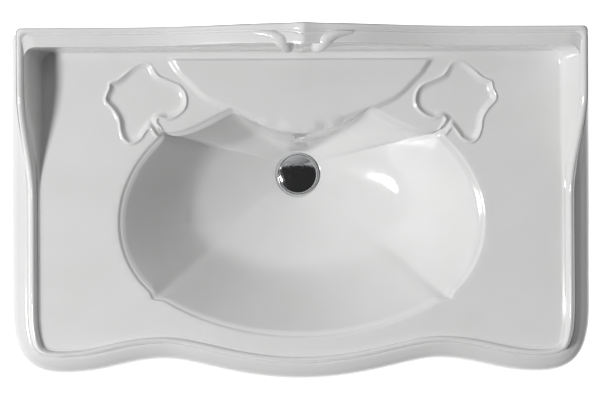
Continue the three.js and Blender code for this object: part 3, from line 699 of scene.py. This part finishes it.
# -------- pedestal
def column_ring(half_width, z, wall):
    """The U-shaped section of the column: round the inside one way, and back round the outside."""
    round_off = 3.0
    back = PEDESTAL["back"] - round_off

    def whole(reach):
        turns = np.linspace(0, pi / 2, PEDESTAL["front_steps"] + 1)
        x = reach * np.cos(turns) ** PEDESTAL["squareness"]
        y = PEDESTAL["y"] - reach * np.sin(turns) ** PEDESTAL["squareness"]
        x[-1] = 0
        side = [(reach, y) for y in np.linspace(back, PEDESTAL["y"], 6)[:-1]]
        right = np.vstack([side, np.column_stack([x, y])])
        return np.vstack([right, right[-2::-1] * (-1, 1)])

    turns = np.radians([30, 60, 90])
    inner = half_width - wall + round_off * (1 - np.cos(turns))
    outer = half_width - round_off * (1 - np.cos(turns))
    lift = back + round_off * np.sin(turns)
    end = np.vstack([np.column_stack([inner, lift]), np.column_stack([outer, lift])[::-1]])
    section = np.vstack([whole(half_width - wall), end * (-1, 1), whole(half_width)[::-1], end[::-1]])
    return np.column_stack([section, np.full(len(section), z)])


def column_shell(name, levels, wall):
    rings = [column_ring(half_width, z, wall) for z, half_width in catmull_rom(levels, 3)]
    return loft(name, rings, 50)


def belly_solid(clearance):
    """The outside of the bowl as a solid, grown by a clearance, to shape what stands under it."""
    foot = [circle_at(44 + clearance, BOSS_Z - clearance), circle_at(47 + clearance, BOSS_Z + 16)]
    return loft("belly", [*map(ring, foot), *belly_rings(BOWL_WALL + clearance)])


def pedestal():
    column = column_shell("pedestal_column", COLUMN, PEDESTAL["wall"])
    cut(column, belly_solid(2.6))
    for side in (-1, 1):
        x, y, top = side * (FLOOR_SCREW["x"] + 3), FLOOR_SCREW["y"], FLOOR_SCREW["lug"]
        lug = [(x - 18, y - 18), (x + 18, y - 18), (x + 18, y + 18), (x - 18, y + 18)]
        inset = [(x + (a - x) * 0.94, y + (b - y) * 0.94) for a, b in lug]
        rings = [[(*p, 0) for p in lug], [(*p, top - 1.2) for p in lug], [(*p, top) for p in inset]]
        join(column, loft("lug", rings))
        hole = turned("hole", rod(FLOOR_SCREW["hole"], -5, 30), 32, 0)
        cut(column, upright(hole, side * FLOOR_SCREW["x"], y))
    return column


def pedestal_seal():
    """A soft strip in the joint between the pedestal and the bowl."""
    levels = [(z, half_width - 2) for z, half_width in COLUMN[-5:]]
    strip = column_shell("pedestal_seal_strip", levels, PEDESTAL["wall"] - 4)
    combine(strip, belly_solid(2.3), "INTERSECT")
    return cut(strip, belly_solid(0.3))


# -------- turned pieces
def eased(profile, radius, steps=3):
    """A closed outline with its corners off the axis rounded by up to that radius."""
    corners = [np.array(corner, float) for corner in profile]
    result = []
    for i, corner in enumerate(corners):
        before, after = corners[i - 1] - corner, corners[(i + 1) % len(corners)] - corner
        reach = min(radius, 0.4 * np.hypot(*before), 0.4 * np.hypot(*after))
        if corner[0] < 1e-6 or reach < 1e-6:
            result.append(corner)
            continue
        a, b = corner + before / np.hypot(*before) * reach, corner + after / np.hypot(*after) * reach
        for t in np.linspace(0, 1, steps + 1):
            result.append((1 - t) ** 2 * a + 2 * t * (1 - t) * corner + t * t * b)
    return result


def turned(name, profile, segments=72, ease=0.5):
    """A solid turned about Z from a closed outline of (radius, z) points."""
    turns = np.linspace(0, 2 * pi, segments, endpoint=False)
    points, rows = [], []
    for r, z in eased(profile, ease):
        on_axis = r < 1e-6
        rows.append([len(points) + i for i in range(1 if on_axis else segments)])
        points += [(0, 0, z)] if on_axis else [(r * cos(t), r * sin(t), z) for t in turns]
    faces = []
    for low, high in zip(rows, rows[1:] + rows[:1]):
        if len(low) + len(high) == 2:
            continue
        for i in range(segments):
            corners = [low[i % len(low)], low[(i + 1) % segments % len(low)]]
            corners += [high[(i + 1) % segments % len(high)], high[i % len(high)]]
            faces.append(list(dict.fromkeys(corners)))
    return make(name, points, faces, 35)


def tube(outer, inner, low, high):
    return [(inner, low), (outer, low), (outer, high), (inner, high)]


def rod(radius, low, high):
    return tube(radius, 0, low, high)


def thread(radius, low, high, pitch=2.0, depth=0.9):
    """Outer points of a threaded stretch, from low to high; its crests are at radius."""
    count = max(2, round((high - low) / pitch))
    step = (high - low) / count
    points = [(radius - depth, low)]
    for i in range(count):
        points += [(radius, low + (i + 0.5) * step), (radius - depth, low + (i + 1) * step)]
    return points


def hex_nut(name, across, bore, low, high, lip=None):
    """A hexagonal nut, chamfered and threaded; lip = (height, radius) closes its low end round a pipe."""
    corner = across / sqrt(3)
    blank = turned(name, rod(corner, low, high), 6, 0)
    shape = [(0, low), (across / 2 - 0.6, low), (corner + 0.2, low + 2.4), (corner + 0.2, high - 2.4)]
    combine(blank, turned("shape", [*shape, (across / 2 - 0.6, high), (0, high)], 96, 0.6), "INTERSECT")
    start = low + lip[0] if lip else low - 1
    hole = [(0, low - 1), (lip[1], low - 1), (lip[1], start)] if lip else [(0, start)]
    root = bore + 0.9
    hole += [*thread(root, start, high - 0.6, 1.6), (root, high), (root, high + 1), (0, high + 1)]
    return cut(blank, turned("hole", hole, 72, 0))


def moved(piece, matrix):
    piece.data.transform(matrix)
    return piece


def upright(piece, x, y, z=0.0):
    return moved(piece, Matrix.Translation(Vector((x, y, z)) * MM))


def from_wall(piece, x, z):
    """Lays a piece drawn up from 0 so that it comes forward from the wall plane."""
    turn = Matrix(((1, 0, 0, 0), (0, 0, -1, 0), (0, 1, 0, 0), (0, 0, 0, 1)))
    return moved(piece, Matrix.Translation(Vector((x, WALL_Y, z)) * MM) @ turn)


def to_wall(piece, y=DRAIN["y"]):
    """Lays a piece drawn up from 0 so that it runs at the arm's height from y towards the wall."""
    turn = Matrix(((1, 0, 0, 0), (0, 0, 1, 0), (0, -1, 0, 0), (0, 0, 0, 1)))
    return moved(piece, Matrix.Translation(Vector((0, y, TRAP["arm_z"])) * MM) @ turn)


def flipped(piece):
    return moved(piece, Matrix.Rotation(pi, 4, "X"))


def at_waste(piece):
    return upright(piece, 0, DRAIN["y"])


def block(name, low, high):
    """A plain box used as a cutter or a bridge."""
    (x0, y0, z0), (x1, y1, z1) = low, high
    plan = [(x0, y0), (x1, y0), (x1, y1), (x0, y1)]
    return loft(name, [[(*p, z0) for p in plan], [(*p, z1) for p in plan]])


# -------- waste and stopper
def waste_body():
    radius, bore, low, flange, seat = (WASTE[key] for key in ("thread", "bore", "low", "flange", "seat"))
    outline = [(bore, low), *thread(radius, low, 668), (radius - 0.6, 668), (radius - 0.6, seat)]
    outline += [(flange, seat), (flange, seat + 1.5), (flange - 1.5, seat + 3.1), (24, seat + 1.8)]
    body = turned("waste_tube", [*outline, (bore, seat - 2)], 72, 0.4)
    low, high = WASTE["bridge"], WASTE["bridge"] + 7
    join(body, block("bridge", (-bore - 1, -5, low), (bore + 1, 5, high)))
    cut(body, turned("hole", rod(4.3, low - 1, high + 1), 32, 0))
    low, high = SEAT_Z - 25, SEAT_Z - 10
    cut(body, block("slot", (-30, -5, low), (30, 5, high)))
    cut(body, block("slot", (-5, -30, low), (5, 30, high)))
    return at_waste(body)


def stopper_cap():
    dome = [(0, 0), (26, 0), (27, 0.6), (28.6, 0.2), (29.5, 0.9), (29.3, 1.9), (27.8, 2.9), (26, 3.6)]
    dome += [(22, 4.75), (18, 5.6), (13.5, 6.3), (9, 6.7), (4.5, 6.95), (0, 7)]
    return at_waste(turned("stopper_dome", [(r, CAP_Z + z) for r, z in dome], 128, 0.5))


def stopper_stem():
    low, top = WASTE["stem"], CAP_Z - 0.3
    outline = [(0, low), (3.9, low), (4.8, low + 1.2), (4.8, low + 6), (4.3, low + 6.6), (4.3, low + 8.6)]
    outline += [(4.8, low + 9.2), (4.8, top - 3), (8, top - 2), (8, top), (0, top)]
    return at_waste(turned("stopper_shaft", outline, 48, 0.3))


def stopper_cartridge():
    c = CARTRIDGE
    outer = c["outer"]
    outline = [(0, c["foot"]), *thread(4, c["foot"], c["low"], 1.2, 0.5), (4, c["low"]), (outer, c["low"])]
    for z in np.arange(c["low"] + 6, c["high"] - 8, 3.0):
        outline += [(outer, z), (outer - 0.5, z + 0.6), (outer - 0.5, z + 1.6), (outer, z + 2.2)]
    outline += [(outer, c["high"]), (c["bore"], c["high"]), (c["bore"], c["floor"]), (0, c["floor"])]
    return at_waste(turned("cartridge_barrel", outline, 48, 0.2))


def cartridge_spring():
    """A coil with closed end turns between the cartridge's floor and the stem."""
    coils = 6
    turns = np.linspace(0, 1, coils * 24 + 1)
    angle = turns * coils * 2 * pi
    rise = smoothstep(turns, 0, 1) * 0.35 + turns * 0.65
    z = lerp(CARTRIDGE["floor"] + 0.9, WASTE["stem"] - 0.9, rise)
    route = np.column_stack([4.3 * np.cos(angle), 4.3 * np.sin(angle), z])
    return at_waste(sweep("spring_coil", route, np.full(len(route), 0.6), sides=10, per_span=1))


# -------- bottle trap
def trap_body():
    outside = [(0, 508), (29, 508), (29, 511), (29.6, 512), (29.6, 514), (29, 515), (29, 523), (31, 525)]
    outside += [(31, 553), (29.5, 557.5), (27, 560), (20, 561), *thread(20, 562, 576.4), (19.4, 577)]
    outside += [(0, 577)]
    body = turned("trap_shell", outside, 96, 0.8)
    outlet = [(0, 15), (23, 15), (23, 31.5), (21, 34), (18.4, 34.6), *thread(19, 35, 51.4)]
    outlet += [(18.4, 52), (0, 52)]
    join(body, to_wall(turned("outlet", outlet, 72, 0.4), 0))
    inside = [(0, 500), (27, 500), (27, 552), (24, 557), (16.3, 557), (16.3, 580), (0, 580)]
    cut(body, turned("inside", inside, 72, 0.4))
    cut(body, to_wall(turned("bore", rod(16.3, 15, 60), 72, 0), 0))
    return at_waste(body)


def trap_cup():
    """The cup that unscrews from the trap, with a ribbed grip below its rim."""
    outline = [(0, 440), (8, 440), (9, 440.8), (20, 440.8), (22, 440), (26, 443.4), (28, 446), (29, 452)]
    outline += [(29, 498), (33, 502), (33, 505), (32.2, 506), (32.2, 516), (33, 517), (33, 520), (29.3, 520)]
    outline += [(29.3, 505.4), (27, 505.4), (27, 454), (25, 447), (20, 443), (0, 443)]
    cup = turned("trap_cup_shell", outline, 144, 0.6)
    for turn in np.linspace(0, 2 * pi, 24, endpoint=False):
        notch = turned("notch", rod(1.4, 506.4, 515.6), 12, 0.3)
        cut(cup, upright(notch, 33 * cos(turn), 33 * sin(turn)))
    return at_waste(cup)


# -------- materials
def material(name, **values):
    """A node material, its tree and its shader; values go to the shader's own sockets."""
    made = bpy.data.materials.new(name)
    made.use_nodes = True
    shader = made.node_tree.nodes["Principled BSDF"]
    for socket, value in values.items():
        shader.inputs[socket.replace("_", " ")].default_value = value
    return made, made.node_tree, shader


def add(tree, kind, values=(), **settings):
    node = tree.nodes.new(kind)
    for key, value in settings.items():
        setattr(node, key, value)
    for key, value in dict(values).items():
        node.inputs[key].default_value = value
    return node


def noise(tree, scale, detail, stretch=(1, 1, 1)):
    """Noise over the object's own metres; scale is in features per metre."""
    place = add(tree, "ShaderNodeTexCoord")
    mapping = add(tree, "ShaderNodeMapping", {"Scale": stretch})
    texture = add(tree, "ShaderNodeTexNoise", {"Scale": scale, "Detail": detail, "Roughness": 0.55})
    tree.links.new(place.outputs["Object"], mapping.inputs["Vector"])
    tree.links.new(mapping.outputs["Vector"], texture.inputs["Vector"])
    return texture.outputs["Fac"]


def spread(tree, factor, low, high, start=0.3, end=0.7):
    """A value that goes from low to high, numbers or other values, as a factor goes from start to end."""
    node = add(tree, "ShaderNodeMapRange", {"From Min": start, "From Max": end})
    tree.links.new(factor, node.inputs["Value"])
    for socket, value in (("To Min", low), ("To Max", high)):
        if isinstance(value, (int, float)):
            node.inputs[socket].default_value = value
        else:
            tree.links.new(value, node.inputs[socket])
    return node.outputs["Result"]


def tint(tree, factor, dark, light):
    """A colour between two, by a factor."""
    node = add(tree, "ShaderNodeMix", data_type="RGBA")
    node.inputs["A"].default_value = (*dark, 1)
    node.inputs["B"].default_value = (*light, 1)
    tree.links.new(spread(tree, factor, 0, 1), node.inputs["Factor"])
    return node.outputs["Result"]


def bumps(tree, shader, *layers):
    """Stacks bump layers of (height, strength, distance in metres) on a shader."""
    normal = None
    for height, strength, distance in layers:
        node = add(tree, "ShaderNodeBump", {"Strength": strength, "Distance": distance})
        tree.links.new(height, node.inputs["Height"])
        if normal:
            tree.links.new(normal, node.inputs["Normal"])
        normal = node.outputs["Normal"]
    tree.links.new(normal, shader.inputs["Normal"])


def surface(name, mottle, dark, light, wear, rough, **values):
    """A material whose colour drifts from dark to light with one noise, and its roughness with another."""
    made, tree, shader = material(name, **values)
    tree.links.new(tint(tree, noise(tree, *mottle), dark, light), shader.inputs["Base Color"])
    tree.links.new(spread(tree, noise(tree, *wear), *rough), shader.inputs["Roughness"])
    return made, tree, shader


def glaze():
    """White china: a hard, clear glaze over a warm white body, with a slow ripple and a faint dimpling."""
    colours = (0.79, 0.79, 0.785), (0.83, 0.83, 0.83)
    values = dict(Specular_IOR_Level=0.5, IOR=1.52, Coat_Weight=0.35, Coat_Roughness=0.03)
    made, tree, shader = surface("glaze", (9, 4), *colours, (40, 4), (0.06, 0.13), **values)
    bumps(tree, shader, (noise(tree, 26, 1), 0.25, 0.0005), (noise(tree, 420, 2), 0.04, 0.0001))
    return made


def chrome():
    """Bright plated metal with faint wiping marks and water spots."""
    colours, marks = ((0.66, 0.67, 0.69), (0.74, 0.75, 0.77)), (180, 6, (1, 1, 0.12))
    made, tree, shader = surface("chrome", (60, 4), *colours, marks, (0.05, 0.16, 0.35, 0.75), Metallic=1.0)
    bumps(tree, shader, (noise(tree, 55, 2), 0.12, 0.0003), (noise(tree, *marks), 0.03, 0.0001))
    return made


def metal(name, dark, light, rough, grain):
    """Plain turned metal: mottled colour, uneven roughness, and fine turning marks round its axis."""
    made, tree, shader = surface(name, (110, 5), dark, light, (240, 4), rough, Metallic=1.0)
    bumps(tree, shader, (noise(tree, grain, 3, (0.15, 0.15, 1)), 0.18, 0.0002))
    return made


def soft(name, dark, light, rough, grain):
    """Moulded rubber or nylon: slight mottling and a fine moulded grain."""
    made, tree, shader = surface(name, (90, 4), dark, light, (200, 3), rough, Specular_IOR_Level=0.4)
    bumps(tree, shader, (noise(tree, grain, 2), 0.15, 0.0002))
    return made


# -------- assembly
def make_looks():
    """The material of each slot."""
    china, plated = glaze(), chrome()
    return {
        "basin_glaze": china,
        "pedestal_glaze": china,
        "waste_chrome": plated,
        "stopper_chrome": plated,
        "trap_chrome": plated,
        "brass": metal("brass", (0.55, 0.36, 0.13), (0.68, 0.47, 0.19), (0.24, 0.4), 900),
        "steel": metal("zinc_steel", (0.42, 0.43, 0.45), (0.56, 0.57, 0.58), (0.3, 0.5), 1400),
        "seal_rubber": soft("seal_rubber", (0.02, 0.02, 0.021), (0.05, 0.05, 0.052), (0.55, 0.75), 1500),
        "nylon": soft("nylon", (0.66, 0.66, 0.63), (0.74, 0.74, 0.71), (0.4, 0.55), 1200),
    }


def build():
    """Makes every piece. Each takes the place of one CAD node, and is named after it."""
    looks = make_looks()

    def dress(node, piece, slot):
        piece.name = node + "_look"
        piece.data.materials.clear()
        piece.data.materials.append(looks[slot])
        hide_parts(node)

    def add_piece(node, piece, slot, body="sink"):
        dress(node, piece, slot)
        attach(piece, body)

    def ring_piece(node, slot, *sizes, body="sink"):
        add_piece(node, at_waste(turned(node, tube(*sizes))), slot, body)

    add_piece("basin", basin(), "basin_glaze")
    add_piece("pedestal", pedestal(), "pedestal_glaze")
    add_piece("pedestal_seal", pedestal_seal(), "seal_rubber")

    add_piece("waste_body", waste_body(), "waste_chrome")
    ring_piece("flange_seal", "seal_rubber", 31, 21, SEAT_Z + 0.3, SEAT_Z + 1.8)
    ring_piece("basin_gasket", "seal_rubber", 36, 21, BOSS_Z - 10, BOSS_Z - 0.3)
    ring_piece("waste_washer", "nylon", 33, 21, BOSS_Z - 12.5, BOSS_Z - 10.3)
    locknut = hex_nut("locknut", 54, 21, BOSS_Z - 27, BOSS_Z - 12.8)
    add_piece("waste_locknut", at_waste(locknut), "brass")
    add_piece("stopper_cap", stopper_cap(), "stopper_chrome", "stopper")
    ring_piece("stopper_seal", "seal_rubber", 25, 18.5, CAP_Z - 1.1, CAP_Z - 0.3, body="stopper")
    add_piece("stopper_stem", stopper_stem(), "brass", "stopper")
    add_piece("stopper_cartridge", stopper_cartridge(), "brass")

    spring = cartridge_spring()
    dress("cartridge_spring", spring, "steel")
    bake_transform(spring)

    pipe, free = TRAP["pipe"], TRAP["pipe"] + 0.3
    ring_piece("trap_inlet_washer", "seal_rubber", 20, TRAP["bore"], 597.3, 599.7)
    inlet = [(TRAP["bore"], 470), (pipe, 470), (pipe, 595), (19.6, 595), (19.6, 597), (TRAP["bore"], 597)]
    add_piece("trap_inlet_pipe", at_waste(turned("inlet", inlet)), "trap_chrome")
    add_piece("trap_inlet_nut", at_waste(hex_nut("inlet_nut", 46, 21, 591, 614, (3.7, free))), "trap_chrome")
    ring_piece("trap_top_washer", "seal_rubber", 20, free, 577.3, 580)
    nut = flipped(hex_nut("top_nut", 46, 20.3, -584, -564, (3.7, free)))
    add_piece("trap_top_nut", at_waste(nut), "trap_chrome")
    add_piece("trap_body", trap_body(), "trap_chrome")
    add_piece("trap_cup", trap_cup(), "trap_chrome")
    ring_piece("cup_seal", "seal_rubber", 29, 27.2, 505.7, 507.7)

    wall = WALL_Y - DRAIN["y"]
    washer = turned("outlet_washer", tube(18.8, free, 52.3, 55))
    add_piece("trap_outlet_washer", to_wall(washer), "seal_rubber")
    nut = flipped(hex_nut("outlet_nut", 44, 19.3, -59, -38, (3.7, free)))
    add_piece("trap_outlet_nut", to_wall(nut), "trap_chrome")
    add_piece("trap_arm", to_wall(turned("arm", tube(pipe, TRAP["bore"], 30, wall))), "trap_chrome")
    cover = [(14, free), (14, 19), (9, 20), (7, 27), (4.6, 31.5), (2, 34), (0, 34), (0, free)]
    cover = turned("wall_cover", [(radius, wall - out) for out, radius in cover], 96, 0.9)
    add_piece("wall_flange", to_wall(cover), "trap_chrome")

    for name, side in (("left", -1), ("right", 1)):
        for node, (piece, slot) in hanger_pieces().items():
            add_piece(f"hanger_{node}_{name}", from_wall(piece, side * HANGER["x"], HANGER["z"]), slot)
        for node, (piece, slot) in floor_pieces().items():
            x, y = side * FLOOR_SCREW["x"], FLOOR_SCREW["y"]
            add_piece(f"floor_{node}_{name}", upright(piece, x, y), slot)


def hanger_pieces():
    """A wall stud and what is on it, drawn up from the wall plane, each with its slot."""
    free, hole, front = HANGER["stud"] + 0.3, HANGER["hole"] - 0.3, BACK_PLATE["thick"]
    stud = [(0, 0), *thread(HANGER["stud"], 0.2, 41, 1.5, 0.5), (3.8, 42), (0, 42)]
    sleeve = [(free, 0.3), (hole, 0.3), (hole, front + 0.3), (13, front + 0.3), (13, front + 3.5)]
    sleeve.append((free, front + 3.5))
    cap = [(free, 33.5), (8, 33.5), (8, 44), (7, 46.4), (5, 48), (2.5, 48.8), (0, 49), (0, 46.5)]
    cap += [(free - 1, 45), (free, 43)]
    return {
        "stud": (turned("stud", stud, 48, 0.1), "steel"),
        "sleeve": (turned("sleeve", sleeve, 64, 0.4), "nylon"),
        "washer": (turned("washer", tube(14, free, front + 3.8, front + 6), 64, 0.3), "steel"),
        "nut": (hex_nut("nut", 17, free, front + 6.3, front + 15.2), "steel"),
        "cap": (turned("cap", cap, 64, 0.5), "nylon"),
    }


def floor_pieces():
    """A floor screw through a lug of the pedestal, drawn up from the floor, each piece with its slot."""
    top = FLOOR_SCREW["lug"]
    screw = [(0, 0), *thread(3.8, 0.2, top, 1.8, 0.6), (3.8, top + 2.8), (7, top + 2.8), (7, top + 5.5)]
    screw = turned("screw", [*screw, (4, top + 7.5), (0, top + 8)], 48, 0.3)
    for turn in (0, pi / 2):
        slot = block("slot", (-4, -0.7, top + 5.6), (4, 0.7, top + 9))
        cut(screw, moved(slot, Matrix.Rotation(turn, 4, "Z")))
    cap = [(9, 2.8), (12, 2.8), (11.9, 5.6), (11.5, 8), (10.2, 10.4), (8, 12)]
    cap += [(4.4, 13.1), (0, 13.5), (0, 10.5), (6.5, 10), (9, 7)]
    cap = [(radius, top + z) for radius, z in cap]
    return {
        "screw": (screw, "steel"),
        "washer": (turned("washer", tube(12, 4.2, top + 0.3, top + 2.5), 64, 0.3), "nylon"),
        "cap": (turned("cap", cap, 72, 0.5), "stopper_chrome"),
    }


# -------- camera, floor and light
def camera():
    """Straight down over the basin, turned a fraction to the left."""
    data = bpy.data.cameras.new("camera")
    data.lens = CAMERA["lens"]
    data.shift_x, data.shift_y = CAMERA["shift"]
    eye = new_object("camera", data)
    eye.location = CAMERA["place"]
    eye.rotation_euler = (0, 0, radians(CAMERA["roll"]))
    bpy.context.scene.camera = eye


def key_lamp():
    """A soft round lamp from the left."""
    data = bpy.data.lights.new("key", "AREA")
    data.shape = "DISK"
    data.size = KEY_LAMP["size"]
    data.energy = KEY_LAMP["watts"]
    lamp = new_object("key", data)
    lamp.location = KEY_LAMP["place"]
    aim = Vector(KEY_LAMP["target"]) - lamp.location
    lamp.rotation_euler = aim.to_track_quat("-Z", "Y").to_euler()
    lamp.visible_camera = False


def floor():
    """A wide pale floor that glows a little, except round the foot, so it stays bright behind the basin."""
    half, steps = 6.0, 24
    line = np.linspace(-half, half, steps + 1)
    corners = [row * (steps + 1) + column for row in range(steps) for column in range(steps)]
    mesh = bpy.data.meshes.new("floor")
    mesh.from_pydata(
        [(x, y, 0.0) for y in line for x in line],
        [],
        [(a, a + 1, a + steps + 2, a + steps + 1) for a in corners],
    )
    piece = new_object("floor", mesh)
    made, tree, shader = material("floor", Roughness=0.9, Emission_Color=(1, 1, 1, 1))
    clouds = noise(tree, 3, 3)
    tree.links.new(tint(tree, clouds, (0.8, 0.8, 0.8), (0.84, 0.84, 0.84)), shader.inputs["Base Color"])
    place = add(tree, "ShaderNodeTexCoord")
    distance = add(tree, "ShaderNodeVectorMath", operation="LENGTH")
    tree.links.new(place.outputs["Object"], distance.inputs[0])
    glow = spread(tree, distance.outputs["Value"], LIGHT["floor_glow"], 0, *LIGHT["floor_reach"])
    glow = spread(tree, distance.outputs["Value"], 0, glow, *LIGHT["foot_reach"])
    tree.links.new(glow, shader.inputs["Emission Strength"])
    mesh.materials.append(made)


def surroundings():
    """A studio room: almost dark overhead, grey at the back, and pale round the horizon."""
    world = bpy.data.worlds.new("studio")
    world.use_nodes = True
    tree = world.node_tree
    place = add(tree, "ShaderNodeTexCoord")
    parts = add(tree, "ShaderNodeSeparateXYZ")
    tree.links.new(place.outputs["Generated"], parts.inputs["Vector"])
    sides = spread(tree, parts.outputs["X"], LIGHT["horizon_left"], LIGHT["horizon_right"], -0.5, 0.5)
    above = spread(tree, parts.outputs["Y"], LIGHT["overhead"], LIGHT["back"], 0.25, 0.35)
    level = spread(tree, parts.outputs["Z"], sides, above, 0.12, 0.3)
    tree.links.new(level, tree.nodes["Background"].inputs["Strength"])
    tree.nodes["Background"].inputs["Color"].default_value = (1, 1, 1, 1)
    bpy.context.scene.world = world


camera()
build()
floor()
surroundings()
key_lamp()
bpy.context.scene.view_settings.view_transform = "Standard"
